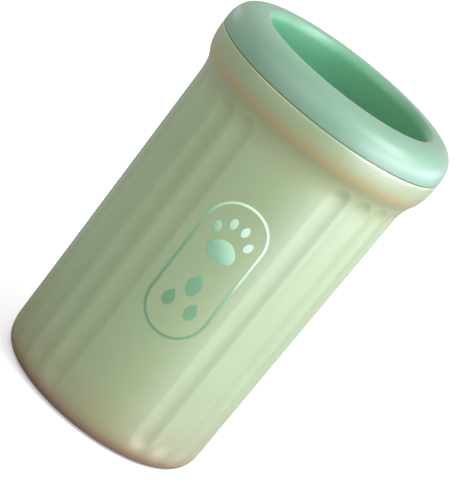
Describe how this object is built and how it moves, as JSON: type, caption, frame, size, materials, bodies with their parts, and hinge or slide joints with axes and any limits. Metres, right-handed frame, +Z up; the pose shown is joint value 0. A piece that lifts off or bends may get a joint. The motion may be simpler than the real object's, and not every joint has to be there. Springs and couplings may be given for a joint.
{
  "type": "paw washer cup",
  "caption": "Tall double-walled cup with a fluted outside, a screw-on rounded mouth ring and a lift-out insert of soft silicone bristles for washing a pet's paw.",
  "frame": {"origin": "centre of the footprint, on the surface that the foot ring stands on", "axes": "+Z up the cup's axis to its mouth; -Y out of the smooth front panel; +X to the right of someone facing that panel"},
  "size_m": [0.0936, 0.0936, 0.15],
  "materials": {
    "shell": "satin moulded plastic, sage green",
    "ring": "satin moulded plastic, mint green",
    "liner": "satin moulded plastic, green",
    "carrier": "fine matte moulded plastic, pale green",
    "bristles": "soft matte silicone, pale mint",
    "seal": "soft matte silicone, off-white",
    "foot": "soft matte silicone, olive brown"
  },
  "bodies": {
    "cup": {"outer_cup": "shell", "inner_liner": "liner", "foot_ring": "foot"},
    "ring_seal": {"ring_gasket": "seal"},
    "mouth_ring": {"mouth_ring": "ring"},
    "brush_insert": {"brush_carrier": "carrier", "brush_panel_1": "bristles", "brush_panel_2": "bristles", "brush_panel_3": "bristles", "brush_panel_4": "bristles", "brush_panel_5": "bristles", "brush_panel_6": "bristles", "brush_panel_7": "bristles", "brush_panel_8": "bristles", "floor_brush": "bristles"}
  },
  "joints": [
    {"name": "ring_lift", "type": "slide", "parent": "cup", "child": "ring_seal", "axis": [0, 0, 1], "range_m": [0, 0.0301]},
    {"name": "ring_twist", "type": "hinge", "parent": "ring_seal", "child": "mouth_ring", "pos_m": [0, 0, 0.139], "axis": [0, 0, 1], "range_deg": [0, 450]},
    {"name": "insert_lift", "type": "slide", "parent": "cup", "child": "brush_insert", "axis": [0, 0, 1], "range_m": [0, 0.15]}
  ],
  "couplings": [
    {"joint": "ring_lift", "follows": "ring_twist", "m_per_rad": 0.0038197}
  ]
}
